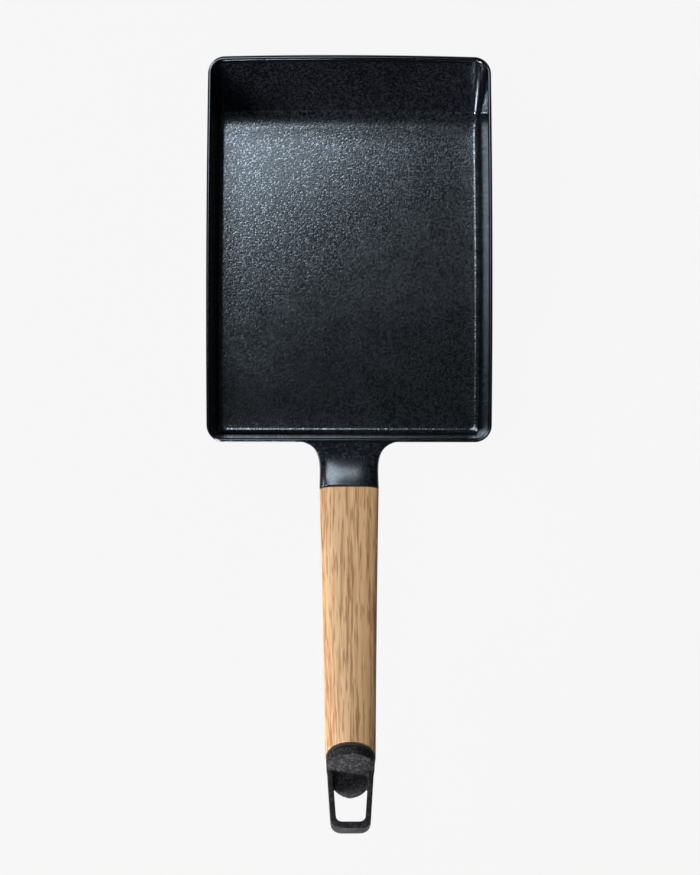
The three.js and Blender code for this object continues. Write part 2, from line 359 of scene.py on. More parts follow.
# %% Enamel material
ENAMEL_PEBBLES, GRAIN_DEPTH = 1350.0, 0.05
WALL_GRAIN, FAR_GRAIN, NECK_GRAIN = 0.03, 0.7, 0.4
FLOOR_FADE, RIM_FADE, SIDE_FADE = (0.8, 2.0), (3.0, 1.0), (63.0, 66.0)
NECK_FADE, FOOT_FADE = 1.0, 2.0
SPECKLE_RANGE, GLINT_RANGE, GLINT_POWER = (0.38, 0.8), (0.25, 0.8), 2.0
ENAMEL_DARK, ENAMEL_PALE = (0.0008, 0.001, 0.0015, 1), (0.019, 0.022, 0.029, 1)
GLINT_TONE, SHEEN_TINT = (0.095, 0.115, 0.135, 1), (0.72, 0.87, 1.0, 1)
GLAZE_ROUGHNESS, NECK_ROUGHNESS, GLAZE_SHEEN = (0.145, 0.185), 0.03, 0.8
FAR_FOOT = FAR_RIM - inset_at(FLOOR + 1, FAR_FACE, INSIDE)
enamel, tree, shader = new_material("black_enamel")
place = object_place(tree)
axes = add_node(tree, "ShaderNodeSeparateXYZ", Vector=place)
sideways, along, up = (out(tree, axes, name) for name in "XYZ")
grain, mottle, fleck = use_grain(tree, place, ENAMEL_PEBBLES)
on_floor = remap(tree, up, (FLOOR + FLOOR_FADE[0]) * MM, (FLOOR + FLOOR_FADE[1]) * MM, 1.0, WALL_GRAIN)
on_neck = remap(tree, along, (NEAR_RIM - NECK_FADE) * MM, (NEAR_RIM + NECK_FADE) * MM, 1.0, 0.0)
past_foot = remap(tree, along, (FAR_FOOT - FOOT_FADE) * MM, FAR_FOOT * MM)
off_rim = remap(tree, up, (PAN_HEIGHT - RIM_FADE[0]) * MM, (PAN_HEIGHT - RIM_FADE[1]) * MM, 1.0, 0.0)
off_sides = remap(tree, sideways.call("ABSOLUTE"), SIDE_FADE[0] * MM, SIDE_FADE[1] * MM, 1.0, 0.0)
on_far_wall = past_foot * off_rim * off_sides
on_top = on_floor.call("MAXIMUM", on_neck * NECK_GRAIN)
grain_share = on_top.call("MAXIMUM", on_far_wall * FAR_GRAIN)
speckle = remap(tree, 0.5 * grain + 0.5 * fleck, *SPECKLE_RANGE) * grain_share
tone = blend_colours(tree, speckle, ENAMEL_DARK, ENAMEL_PALE)
glint = remap(tree, 0.4 * grain + 0.6 * fleck, *GLINT_RANGE) * on_top
plug(tree, shader.inputs["Base Color"], blend_colours(tree, glint**GLINT_POWER, tone, GLINT_TONE))
plug(tree, shader.inputs["Metallic"], glint)
glaze = remap(tree, mottle, 0.25, 0.75, *GLAZE_ROUGHNESS, "LINEAR")
plug(tree, shader.inputs["Roughness"], glaze + NECK_ROUGHNESS * on_neck)
shader.inputs["Specular Tint"].default_value = SHEEN_TINT
shader.inputs["Specular IOR Level"].default_value = GLAZE_SHEEN
rough_up(tree, shader, grain * grain_share, GRAIN_DEPTH * MM)
print("black enamel:", len(tree.nodes), "nodes")

# %% [markdown]
# Step 7: the tray
#
# The pan is one casting, and its tray has upright walls on three sides and a sloped far wall. It is
# lofted from outlines that climb the outside, roll over the rim and go down the inside. The floor's
# last stretch before the walls rises by a hair, as enamel gathers there and catches the light.

# %% The tray
CORNER_STEPS, EDGE_STEPS, FILLET_STEPS, RIM_STEPS, DISH_STEPS = 20, 28, 30, 14, 12
DISH, DISH_RUN, FILLET_SHARE = 0.14, 9.0, 0.97


def lerp(a, b, t):
    return a + (b - a) * t


def bulge(t):
    return 4 * t * (1 - t)


def pan_ring(z, side, far):
    """One outline of the tray at a height, with its inset on the sides and on the far wall."""
    radius = max(RIM_CORNER - CORNER_EASE * side, FLOOR_CORNER)
    x = RIM_WIDTH / 2 - SIDE_BOW - side - radius
    near = NEAR_RIM + side + radius
    distant = FAR_RIM - far - radius
    far_x, near_x = x - FAR_TAPER, x + FAR_TAPER
    corners = [(far_x, distant), (-far_x, distant), (-near_x, near), (near_x, near)]
    bows = [(0, FAR_BOW), (-SIDE_BOW, 0), (0, 0), (SIDE_BOW, 0)]
    arcs = []
    for k, corner in enumerate(corners):
        turn = (k + np.linspace(0, 1, CORNER_STEPS + 1)) * pi / 2
        arcs.append(np.array(corner) + radius * np.stack([np.cos(turn), np.sin(turn)], 1))
    t = np.linspace(0, 1, EDGE_STEPS + 1)[1:-1, None]
    points = []
    for k, arc in enumerate(arcs):
        goal = arcs[(k + 1) % 4][0]
        points += [arc, lerp(arc[-1], goal, t) + np.array(bows[k]) * bulge(t)]
    points = np.concatenate(points)
    return np.column_stack([points, np.full(len(points), z)])


def fillet_rings(skin, lift=0.0):
    """Outlines up a run-out; with a lift they start that much above the foot, on a raised skin."""
    raised = {**skin, "foot": skin["foot"] + lift * FILLET_SHARE}
    rise = max(run_out(face, skin["grow"])[1] for face in (SIDE_FACE, FAR_FACE))
    heights = skin["foot"] + lift + rise * np.linspace(0, 1, FILLET_STEPS + 1) ** 2
    return [pan_ring(z, inset_at(z, SIDE_FACE, raised), inset_at(z, FAR_FACE, raised)) for z in heights]


def dish_rings():
    """The floor's last stretch before a wall, which rises very gently."""
    raised = {**INSIDE, "foot": FLOOR + DISH * FILLET_SHARE}
    side, far = (inset_at(FLOOR + DISH, face, raised) for face in (SIDE_FACE, FAR_FACE))
    rings = []
    for share in np.linspace(1, 0, DISH_STEPS + 1)[1:]:
        inwards = DISH_RUN * (1 - share)
        rings.append(pan_ring(FLOOR + DISH * share**2, side + inwards, far + inwards))
    return rings


def rim_rings():
    """A round rim from the outer face to the inner face."""
    shoulder = PAN_HEIGHT - WALL / 2
    side_ends = [inset_at(shoulder, SIDE_FACE, skin) for skin in (OUTSIDE, INSIDE)]
    far_ends = [inset_at(shoulder, FAR_FACE, skin) for skin in (OUTSIDE, INSIDE)]
    rings = []
    for turn in np.linspace(0, pi, RIM_STEPS + 1):
        across = (1 - cos(turn)) / 2
        z = shoulder + WALL / 2 * sin(turn)
        rings.append(pan_ring(z, lerp(*side_ends, across), lerp(*far_ends, across)))
    return rings


inner_rings = fillet_rings(INSIDE, DISH)[::-1] + dish_rings()
pan_body = loft("pan_body", fillet_rings(OUTSIDE) + rim_rings() + inner_rings)
print("tray:", len(pan_body.data.polygons), "faces")

# %% [markdown]
# Step 8: the handle's frame and section
#
# The handle rises from the pan at a fixed slope. Everything along it is drawn in its own frame, with
# distances measured from the neck joint, and then turned into place. Its section is an egg, flatter on
# top.

# %% Sizes of the handle
RISE = radians(26)
NECK_DROP, NECK_LENGTH = 8.3, 23.6
NECK_ROOT_DEPTH, NECK_EASE, NECK_LIFT = 0.8, 0.5, 1.8
RIM_STEP, LEVEL_TO = 0.1, 0.39
FLARE_SIDE, FLARE_PULL, FLARE_RISE = 18.4, 2.6, 3.0
GRIP_LENGTH = 134.4
NECK_HALF, TIP_HALF, GRIP_WAIST = 14.8, 12.15, 0.2
NECK_TOP, TIP_TOP = 9.5, 8.5
NECK_BOTTOM, TIP_BOTTOM = 10.5, 10.3
NECK_CROWN, TIP_CROWN = 4.5, 6.0
NECK_POWER, TIP_POWER, BELLY_POWER = 3.2, 2.1, 2.0
GASKET, GASKET_INSET, SEAT_GAP, SLIDE_GAP = 0.6, 0.3, 0.15, 0.3
GRIP_START = GASKET + 2 * SEAT_GAP
SLANT = radians(47)
AROUND, SLANT_ROUNDS = 144, 8
handle_y = NEAR_RIM - NECK_LENGTH * cos(RISE) - NECK_TOP * sin(RISE)
handle_z = PAN_HEIGHT - NECK_DROP + NECK_LENGTH * sin(RISE) - NECK_TOP * cos(RISE)
handle_frame = Matrix.Translation((0, handle_y, handle_z)) @ Matrix.Rotation(-RISE, 4, "X")


def power(value, exponent):
    return np.sign(value) * np.abs(value) ** exponent


def on_handle(points):
    """Turns points of the handle's own frame into the pan's frame."""
    turn = np.array(handle_frame.to_3x3())
    return np.asarray(points, float) @ turn.T + np.array(handle_frame.translation)


def section(distance, grow=0.0):
    """The egg-shaped outline at a distance from the neck joint, which may differ round the outline."""
    t = distance / GRIP_LENGTH
    angle = np.arange(1, AROUND + 1) / AROUND * 2 * pi
    half = lerp(NECK_HALF, TIP_HALF, t) - GRIP_WAIST * bulge(t) + grow
    crown = lerp(NECK_CROWN, TIP_CROWN, t)
    widest = lerp(NECK_TOP, TIP_TOP, t) - crown
    belly = lerp(NECK_BOTTOM, TIP_BOTTOM, t) + widest
    above = np.sin(angle) > 0
    bend = np.where(above, 2 / lerp(NECK_POWER, TIP_POWER, np.clip(t, 0, 1)), 2 / BELLY_POWER)
    tall = np.where(above, crown, belly) + grow
    x = half * power(np.cos(angle), bend)
    z = widest + tall * power(np.sin(angle), bend)
    return np.stack([x, np.broadcast_to(-distance, x.shape), z], 1)


def slanted(offset, grow=0.0):
    """The outline where a plane parallel to the grip's slanted end cuts the handle."""
    distance = np.full(AROUND, GRIP_LENGTH)
    for _ in range(SLANT_ROUNDS):
        height = section(distance, grow)[:, 2]
        distance = GRIP_LENGTH + offset / sin(SLANT) + (TIP_TOP - height) / tan(SLANT)
    return section(distance, grow)


print(f"neck joint at y = {handle_y:.2f}, z = {handle_z:.2f} mm")

# %% [markdown]
# Step 9: neck, spigot and nut pocket
#
# The neck is a bundle of smooth curves that leave the wall along its face, so the two melt together,
# and end in the handle's section with a slightly rounded edge. An oval spigot stands on that end and
# keeps the grip from turning. Underneath, a pocket leaves room for the nut that draws the whole handle
# together.

# %% Neck
ROD_THREAD = 6.0
ROD_BORE = ROD_THREAD + 2 * SLIDE_GAP
BULKHEAD, SPIGOT_LENGTH = 6.0, 5.0
SPIGOT_HALF_WIDTH, SPIGOT_HALF_HEIGHT = ROD_BORE / 2 + 4.2, ROD_BORE / 2 + 1.9
POCKET_START, POCKET_RADIUS = -21.95, 6.8
ARRIS = 0.35
NECK_STEPS, ROUND_STEPS = 36, 64


def arris_turn(count=5):
    """Pairs of advance and inset, as shares of the arris, that round an edge over."""
    return [(sin(turn), 1 - cos(turn)) for turn in np.linspace(0, pi / 2, count)]


def neck_rings():
    """Outlines of the neck from the wall to the joint, each point on its own curve."""
    end = on_handle(section(-ARRIS))
    lowered = section(-ARRIS)
    lowered[:, 2] = NECK_TOP - (NECK_TOP - lowered[:, 2]) * NECK_ROOT_DEPTH
    start = on_handle(lowered)
    to_pan = np.array([0, cos(RISE), -sin(RISE)])
    lean = SIDE_FACE["lean"]
    outward = np.array([0, -cos(lean), -sin(lean)])
    up_wall = np.array([0, -sin(lean), cos(lean)])
    wall_middle = np.array([0, NEAR_RIM + WALL / 2, PAN_HEIGHT])
    reach = ((wall_middle - start) @ outward) / (to_pan @ outward)
    foot = start + reach[:, None] * to_pan
    angle = np.arange(1, AROUND + 1)[:, None] / AROUND * 2 * pi
    rising = np.clip(np.sin(angle) / LEVEL_TO, 0, 1)
    level = rising * rising * (3 - 2 * rising)
    to_rim = (PAN_HEIGHT - RIM_STEP - foot[:, 2:]) / up_wall[2]
    flare = foot + up_wall * lerp(FLARE_RISE * np.sin(angle), to_rim, level)
    sideways = np.array([1, 0, 0]) * start[:, :1] / NECK_HALF
    flare = flare + FLARE_SIDE * sideways
    corner = foot + up_wall * to_rim * level - FLARE_PULL * sideways
    ease = lerp(foot, end, NECK_EASE) + np.array([0, 0, NECK_LIFT]) * level
    rings = []
    for t in np.linspace(0, 1, NECK_STEPS + 1):
        s = 1 - t
        rings.append(s**3 * flare + 3 * s * s * t * corner + 3 * s * t * t * ease + t**3 * end)
    for advance, inset in arris_turn()[1:]:
        rings.append(on_handle(section(-ARRIS + ARRIS * advance, -ARRIS * inset)))
    return rings


def oval_ring(distance, half_width, half_height, count=ROUND_STEPS):
    angle = np.arange(count) / count * 2 * pi
    return np.stack([half_width * np.cos(angle), np.full(count, -distance), half_height * np.sin(angle)], 1)


def oval_bar(name, start, end, half_width, half_height):
    return loft(name, [on_handle(oval_ring(d, half_width, half_height)) for d in (start, end)])


def pocket():
    arch = np.linspace(0, pi, ROUND_STEPS // 2 + 1)
    x = np.concatenate([POCKET_RADIUS * np.cos(arch), [-POCKET_RADIUS, POCKET_RADIUS]])
    z = np.concatenate([POCKET_RADIUS * np.sin(arch), [-2 * NECK_BOTTOM, -2 * NECK_BOTTOM]])
    rings = [np.stack([x, np.full(len(x), -d), z], 1) for d in (POCKET_START, -BULKHEAD)]
    return loft("pocket", [on_handle(ring) for ring in rings])


combine(pan_body, loft("neck", neck_rings()), "UNION")
spigot = oval_bar("spigot", -BULKHEAD / 2, SPIGOT_LENGTH, SPIGOT_HALF_WIDTH, SPIGOT_HALF_HEIGHT)
combine(pan_body, spigot, "UNION")
combine(pan_body, pocket(), "DIFFERENCE")
bore = oval_bar("bore", -BULKHEAD - SLIDE_GAP, SPIGOT_LENGTH + SLIDE_GAP, ROD_BORE / 2, ROD_BORE / 2)
combine(pan_body, bore, "DIFFERENCE")
polish(pan_body, enamel, "pan_body")

# %% [markdown]
# Step 10: oak
#
# Oak cut along the grain shows soft bands of early and late wood, fine fibres, and short dark vessels a
# few millimetres long. Noise stretched along the handle gives all three. A Mapping node first turns
# Object coordinates into the handle's own frame, so the grain follows the grip and not the table.

# %% Oak material
EARLY_WOOD, LATE_WOOD = (0.6, 0.375, 0.185, 1), (0.42, 0.225, 0.09, 1)
PALE_FIBRE, WARM_PATCH = (0.7, 0.475, 0.265, 1), (0.45, 0.25, 0.1, 1)
VESSEL_BROWN = (0.22, 0.095, 0.032, 1)
FIBRE_SHARE, PATCH_SHARE, VESSEL_SHARE = 0.6, 0.3, 0.62
OAK_ROUGHNESS, OAK_RELIEF = (0.5, 0.64), 0.05
oak, tree, shader = new_material("oiled_oak")
turned = add_node(tree, "ShaderNodeMapping", {"vector_type": "TEXTURE"}, Vector=object_place(tree))
turned.inputs["Location"].default_value = (0, handle_y * MM, handle_z * MM)
turned.inputs["Rotation"].default_value = (-RISE, 0, 0)
along_grip = out(tree, turned)


def stretched_noise(tree, place, across, along, detail, distortion=0.0):
    """Noise with so many features per metre across the handle and along it."""
    scaled = add_node(tree, "ShaderNodeVectorMath", {"operation": "MULTIPLY"})
    plug(tree, scaled.inputs[0], place)
    scaled.inputs[1].default_value = (across, along, across)
    noise = add_node(
        tree, "ShaderNodeTexNoise",
        Vector=out(tree, scaled), Scale=1.0, Detail=detail, Distortion=distortion,
    )
    return out(tree, noise)


bands = stretched_noise(tree, along_grip, 560.0, 11.0, 2.0, 0.4)
fibres = stretched_noise(tree, along_grip, 1050.0, 45.0, 2.0)
vessels = stretched_noise(tree, along_grip, 1250.0, 80.0, 1.0)
breadth = stretched_noise(tree, along_grip, 70.0, 12.0, 1.0)
late_wood = remap(tree, bands, 0.4, 0.6)
pale_fibres = remap(tree, fibres, 0.42, 0.62)
vessel_lines = remap(tree, vessels + 0.12 * late_wood, 0.56, 0.72)
patches = remap(tree, breadth, 0.35, 0.7, 0.0, PATCH_SHARE)
wood = blend_colours(tree, late_wood, EARLY_WOOD, LATE_WOOD)
wood = blend_colours(tree, pale_fibres * FIBRE_SHARE, wood, PALE_FIBRE)
wood = blend_colours(tree, patches, wood, WARM_PATCH)
wood = blend_colours(tree, vessel_lines * VESSEL_SHARE, wood, VESSEL_BROWN)
plug(tree, shader.inputs["Base Color"], wood)
plug(tree, shader.inputs["Roughness"], remap(tree, fibres, 0.3, 0.7, *OAK_ROUGHNESS, "LINEAR"))
rough_up(tree, shader, 0.6 * fibres - 0.8 * vessel_lines, OAK_RELIEF * MM)
print("oiled oak:", len(tree.nodes), "nodes")

# %% [markdown]
# Step 11: a rule for the grip
#
# The grip follows a rule: an egg section all the way, a little narrower towards the tip, and cut off at
# a slant. That suits Geometry Nodes. A plain cylinder supplies the points, and arithmetic on each
# point's angle and height moves it to its place on the handle. The named inputs are the sizes a maker
# would change.

# %% Grip tree
SIZES = {
    "Start": GRIP_START, "Length": GRIP_LENGTH, "Arris": ARRIS,
    "Neck half width": NECK_HALF, "Tip half width": TIP_HALF, "Waist": GRIP_WAIST,
    "Neck top": NECK_TOP, "Tip top": TIP_TOP, "Neck bottom": NECK_BOTTOM, "Tip bottom": TIP_BOTTOM,
    "Neck crown": NECK_CROWN, "Tip crown": TIP_CROWN,
}
SHAPES = {"Neck power": NECK_POWER, "Tip power": TIP_POWER, "Belly power": BELLY_POWER, "Slant": SLANT}
ALONG_STEPS = 150
END_CROWDING = 0.97
grip_tree, size, grip_end = new_group(
    "GeometryNodeTree",
    "grip_by_rule",
    [(title, "NodeSocketFloat", None) for title in (*SIZES, *SHAPES)]
    + [("Around", "NodeSocketInt", AROUND), ("Along", "NodeSocketInt", ALONG_STEPS)]
    + [("Material", "NodeSocketMaterial", None)],
    [("Grip", "NodeSocketGeometry")],
)
tube = add_node(
    grip_tree, "GeometryNodeMeshCylinder", {"fill_type": "NGON"},
    Vertices=size["Around"], Side_Segments=size["Along"], Radius=1.0, Depth=1.0,
)
seat = add_node(grip_tree, "ShaderNodeSeparateXYZ")
grip_tree.links.new(grip_tree.nodes.new("GeometryNodeInputPosition").outputs[0], seat.inputs[0])
angle = out(grip_tree, seat, "Y").call("ARCTAN2", out(grip_tree, seat, "X"))
even = out(grip_tree, seat, "Z") + 0.5
share = even - END_CROWDING / (2 * pi) * (even * (2 * pi)).call("SINE")
across, upward = angle.call("COSINE"), angle.call("SINE")
is_above = upward.call("GREATER_THAN", 0.0)


def between(title, t):
    return size["Neck " + title] + (size["Tip " + title] - size["Neck " + title]) * t


def bent(value, exponent):
    return value.call("SIGN") * value.call("ABSOLUTE") ** exponent


def egg_height(t, bend, grow):
    """Height of a point of the egg section at a share of the grip's length."""
    widest = between("top", t) - between("crown", t)
    tall = between("bottom", t) + widest
    tall = tall + (between("crown", t) - tall) * is_above
    return widest + (tall + grow) * bent(upward, bend)


def egg_bend(t):
    bend_power = size["Belly power"] + (between("power", t) - size["Belly power"]) * is_above
    return 2.0 / bend_power


tip_height = egg_height(1.0, egg_bend(1.0), 0.0)
far_end = size["Length"] + (size["Tip top"] - tip_height) / size["Slant"].call("TANGENT")
distance = size["Start"] + (far_end - size["Start"]) * share
t = distance / size["Length"]
to_edge = (distance - size["Start"]).call("MINIMUM", far_end - distance).call("MINIMUM", size["Arris"])
short = size["Arris"] - to_edge
grow = (size["Arris"] * size["Arris"] - short * short).call("SQRT") - size["Arris"]
bend = egg_bend(t.call("MINIMUM", 1.0))
half = between("half width", t) - size["Waist"] * (4.0 * t * (1.0 - t)) + grow
shaped = add_node(
    grip_tree, "ShaderNodeCombineXYZ",
    X=half * bent(across, bend), Y=distance * -1.0, Z=egg_height(t, bend, grow),
)
moved = add_node(
    grip_tree, "GeometryNodeSetPosition", Geometry=out(grip_tree, tube), Position=out(grip_tree, shaped)
)
realized = add_node(grip_tree, "GeometryNodeRealizeInstances", Geometry=out(grip_tree, moved))
coated = add_node(
    grip_tree, "GeometryNodeSetMaterial", Geometry=out(grip_tree, realized), Material=size["Material"]
)
plug(grip_tree, grip_end.inputs["Grip"], out(grip_tree, coated))
print("grip tree:", len(grip_tree.nodes), "nodes")

# %% [markdown]
# Step 12: the grip and its seats
#
# The rule runs once on an empty mesh, and the result becomes plain mesh. Then the wood gets a hole for
# the tie rod and two oval seats, one for the neck's spigot and one for the plug of the end cap.

# %% Grip
PLUG_LENGTH, CAP_PLATE = 16.0, 3.0
PLUG_START = GRIP_LENGTH - PLUG_LENGTH
CAP_BACK = GASKET + 2 * SEAT_GAP
CAP_FACE = CAP_BACK + CAP_PLATE
TIP_REACH = GRIP_LENGTH + CAP_FACE / sin(SLANT) + (TIP_TOP + TIP_BOTTOM) / tan(SLANT)
SEAT_HALF_WIDTH, SEAT_HALF_HEIGHT = SPIGOT_HALF_WIDTH + SLIDE_GAP, SPIGOT_HALF_HEIGHT + SLIDE_GAP


def grow_by_nodes(name, tree, values):
    """Runs a Geometry Nodes tree on an empty mesh and keeps the result as plain mesh."""
    piece = bpy.data.objects.new(name, bpy.data.meshes.new(name))
    bpy.context.scene.collection.objects.link(piece)
    modifier = piece.modifiers.new(tree.name, "NODES")
    modifier.node_group = tree
    for item in tree.interface.items_tree:
        if item.in_out == "INPUT" and item.name in values:
            modifier[item.identifier] = values[item.name]
    return settle(piece)


grip = grow_by_nodes("grip", grip_tree, {**SIZES, **SHAPES, "Material": oak})
grip.data.transform(Matrix.Scale(MM, 4) @ handle_frame)
turn_outwards(grip.data)
for tool in (
    oval_bar("rod_hole", 0, TIP_REACH, ROD_BORE / 2, ROD_BORE / 2),
    oval_bar("neck_seat", 0, SPIGOT_LENGTH + SLIDE_GAP, SEAT_HALF_WIDTH, SEAT_HALF_HEIGHT),
    oval_bar("plug_seat", PLUG_START - SLIDE_GAP, TIP_REACH, SEAT_HALF_WIDTH, SEAT_HALF_HEIGHT),
):
    combine(grip, tool, "DIFFERENCE")
polish(grip, oak, "grip")

# %% [markdown]
# Step 13: paint for the end cap
#
# The cap is a rougher casting with a thick black paint. The same grain group serves it, with larger
# pebbles, deeper bump and less sheen than the enamel.

# %% Cap paint
CAP_PEBBLES, CAP_RELIEF = 1000.0, 0.16
CAP_DARK, CAP_PALE = (0.0045, 0.0048, 0.0058, 1), (0.031, 0.032, 0.036, 1)
CAP_PEAKS, CAP_ROUGHNESS, CAP_SHEEN = (0.4, 0.85), (0.45, 0.55), 0.12
cap_paint, tree, shader = new_material("rough_black_paint")
grain, mottle, fleck = use_grain(tree, object_place(tree), CAP_PEBBLES)
peaks = remap(tree, 0.5 * grain + 0.5 * fleck, *CAP_PEAKS)
plug(tree, shader.inputs["Base Color"], blend_colours(tree, peaks, CAP_DARK, CAP_PALE))
plug(tree, shader.inputs["Roughness"], remap(tree, mottle, 0.3, 0.7, *CAP_ROUGHNESS, "LINEAR"))
shader.inputs["Specular IOR Level"].default_value = CAP_SHEEN
rough_up(tree, shader, grain, CAP_RELIEF * MM)
print("rough black paint:", len(tree.nodes), "nodes")

# %% [markdown]
# Step 14: the hanging loop
#
# The loop is a flat band bent into a U, a little narrower at its end. Its outline is drawn from above,
# outer line first and inner line back, and is given its depth. The legs start deep in the cap, to be
# cut off there later.

# %% Hanging loop
LOOP_DROP, LOOP_DEPTH, LOOP_REACH = 7.3, 8.5, 28.5
LOOP_BAND, LOOP_END_BAND = 2.6, 3.5
LOOP_ROOT, LOOP_TAPER, LOOP_BURY = TIP_HALF - 0.7, 1.75, 9.0
LOOP_CORNER, LOOP_INNER_CORNER, KNEE_STEPS = 6.0, 3.4, 10


def slant_at(offset, height):
    return GRIP_LENGTH + offset / sin(SLANT) + (TIP_TOP - height) / tan(SLANT)


def bend_corner(start, corner, end):
    t = np.linspace(0, 1, KNEE_STEPS + 1)[:, None]
    return (1 - t) ** 2 * start + 2 * t * (1 - t) * corner + t * t * end


def u_line(root, root_half, end, end_half, corner):
    """One line of the loop, from its root on the left round its end to its root on the right."""
    knee = np.array([(-end_half, end - corner), (-end_half, end), (-end_half + corner, end)])
    line = np.concatenate([[(-root_half, root)], bend_corner(*knee)])
    return np.concatenate([line, line[::-1] * [-1, 1]])


def hanging_loop():
    top = TIP_TOP - LOOP_DROP
    root = slant_at(CAP_BACK + CAP_PLATE / 2, top - LOOP_DEPTH) - LOOP_BURY
    end = slant_at(CAP_FACE, top) + LOOP_REACH
    drift = LOOP_TAPER / (end - LOOP_CORNER - slant_at(CAP_BACK, top))
    root_half = LOOP_ROOT + drift * (slant_at(CAP_BACK, top) - root)
    end_half = LOOP_ROOT - LOOP_TAPER
    outer = u_line(root, root_half, end, end_half, LOOP_CORNER)
    inner_end = end - LOOP_END_BAND
    inner = u_line(root, root_half - LOOP_BAND, inner_end, end_half - LOOP_BAND, LOOP_INNER_CORNER)
    flat = np.concatenate([outer, inner[::-1]])
    rings = [np.stack([flat[:, 0], -flat[:, 1], np.full(len(flat), z)], 1) for z in (top, top - LOOP_DEPTH)]
    return loft("loop", [on_handle(ring) for ring in rings])


loop = hanging_loop()
print("loop:", len(loop.data.polygons), "faces")

# %% [markdown]
# Step 15: the cast end cap
#
# The cap is a slanted disc over the grip's end, a plug that goes into the wood, and the loop. After the
# three are joined, a voxel remesh and a little smoothing give the soft edges and small fillets of a
# sand casting.

# %% End cap
CAP_INSET, PLUG_OVERRUN, SLAB = 0.45, 30.0, 60.0
ROD_END = PLUG_START + 17.0
CAST_VOXEL, CAST_SMOOTHING, CAST_SOFTNESS, CAST_SHARP = 0.26, 5, 0.5, radians(80)


def behind_slant(offset):
    """A thick slab of everything on the pan's side of a plane parallel to the slanted end."""
    across, along = np.array([1, 0, 0]), np.array([0, -cos(SLANT), -sin(SLANT)])
    normal = np.array([0, -sin(SLANT), cos(SLANT)])
    corner = np.array([0, -GRIP_LENGTH, TIP_TOP]) + normal * offset
    square = [corner + SLAB * (a * across + b * along) for a, b in SQUARE]
    return loft("slab", [on_handle(np.array(square) - normal * depth) for depth in (0, SLAB)])


end_cap = loft("end_cap", [on_handle(slanted(offset, -CAP_INSET)) for offset in (CAP_BACK, CAP_FACE)])
combine(loop, behind_slant(CAP_BACK + CAP_PLATE / 2), "DIFFERENCE")
combine(end_cap, loop, "UNION")
plug_bar = oval_bar("plug", PLUG_START, GRIP_LENGTH + PLUG_OVERRUN, SPIGOT_HALF_WIDTH, SPIGOT_HALF_HEIGHT)
combine(plug_bar, behind_slant(CAP_BACK + CAP_PLATE / 2), "INTERSECT")
combine(end_cap, plug_bar, "UNION")
hole = oval_bar("blind_hole", PLUG_START - SLIDE_GAP, ROD_END + SLIDE_GAP, ROD_BORE / 2, ROD_BORE / 2)
combine(end_cap, hole, "DIFFERENCE")
remesh = end_cap.modifiers.new("cast", "REMESH")
remesh.mode = "VOXEL"
remesh.voxel_size = CAST_VOXEL * MM
soften = end_cap.modifiers.new("soften", "SMOOTH")
soften.factor = CAST_SOFTNESS
soften.iterations = CAST_SMOOTHING
settle(end_cap)
polish(end_cap, cap_paint, "end_cap", CAST_SHARP)

# %% [markdown]
# Step 16: gasket fibre and plated steel
#
# Two more finishes use the grain group: a dull black fibre for the gaskets, and zinc plating with a
# slow mottle for the rod, the washers and the nut.

# %% Gasket and steel materials
GASKET_PEBBLES, STEEL_PEBBLES = 3000.0, 900.0
GASKET_RELIEF, STEEL_RELIEF = 0.05, 0.01
GASKET_ROUGHNESS, STEEL_ROUGHNESS = (0.75, 0.95), (0.28, 0.45)
GASKET_DARK, GASKET_PALE = (0.008, 0.008, 0.008, 1), (0.03, 0.028, 0.026, 1)
STEEL_DARK, STEEL_PALE = (0.42, 0.43, 0.44, 1), (0.62, 0.62, 0.6, 1)
gasket_black, tree, shader = new_material("fibre_gasket")
grain, mottle, _ = use_grain(tree, object_place(tree), GASKET_PEBBLES)
plug(tree, shader.inputs["Base Color"], blend_colours(tree, grain, GASKET_DARK, GASKET_PALE))
plug(tree, shader.inputs["Roughness"], remap(tree, mottle, 0.3, 0.7, *GASKET_ROUGHNESS, "LINEAR"))
rough_up(tree, shader, grain, GASKET_RELIEF * MM)

steel, tree, shader = new_material("zinc_plated_steel")
grain, mottle, _ = use_grain(tree, object_place(tree), STEEL_PEBBLES)
plug(tree, shader.inputs["Base Color"], blend_colours(tree, mottle, STEEL_DARK, STEEL_PALE))
plug(tree, shader.inputs["Roughness"], remap(tree, mottle, 0.3, 0.7, *STEEL_ROUGHNESS, "LINEAR"))
shader.inputs["Metallic"].default_value = 1.0
rough_up(tree, shader, grain, STEEL_RELIEF * MM)
print("gasket and steel ready")

# %% [markdown]
# Step 17: the gaskets
#
# The gaskets are thin slices of the handle's own section, set in a little, with a window for the spigot
# or the plug. They show as dark lines at the ends of the wood.

# %% Gaskets
OVERCUT = 1.0
neck_gasket = loft(
    "neck_gasket", [on_handle(section(d, -GASKET_INSET)) for d in (SEAT_GAP, SEAT_GAP + GASKET)]
)
cap_gasket = loft(
    "cap_gasket", [on_handle(slanted(offset, -GASKET_INSET)) for offset in (SEAT_GAP, SEAT_GAP + GASKET)]
)
for piece, node, end in ((neck_gasket, "neck_gasket", GRIP_START), (cap_gasket, "cap_gasket", TIP_REACH)):
    window = oval_bar("window", -OVERCUT, end + OVERCUT, SEAT_HALF_WIDTH, SEAT_HALF_HEIGHT)
    combine(piece, window, "DIFFERENCE")
    polish(piece, gasket_black, node)

# %% [markdown]
# Step 18: a rule for the thread
#
# A thread is a small ridge that follows a spiral, which is a curve job for Geometry Nodes: one curve
# for the path, one for the section, and a node that sweeps the second along the first.

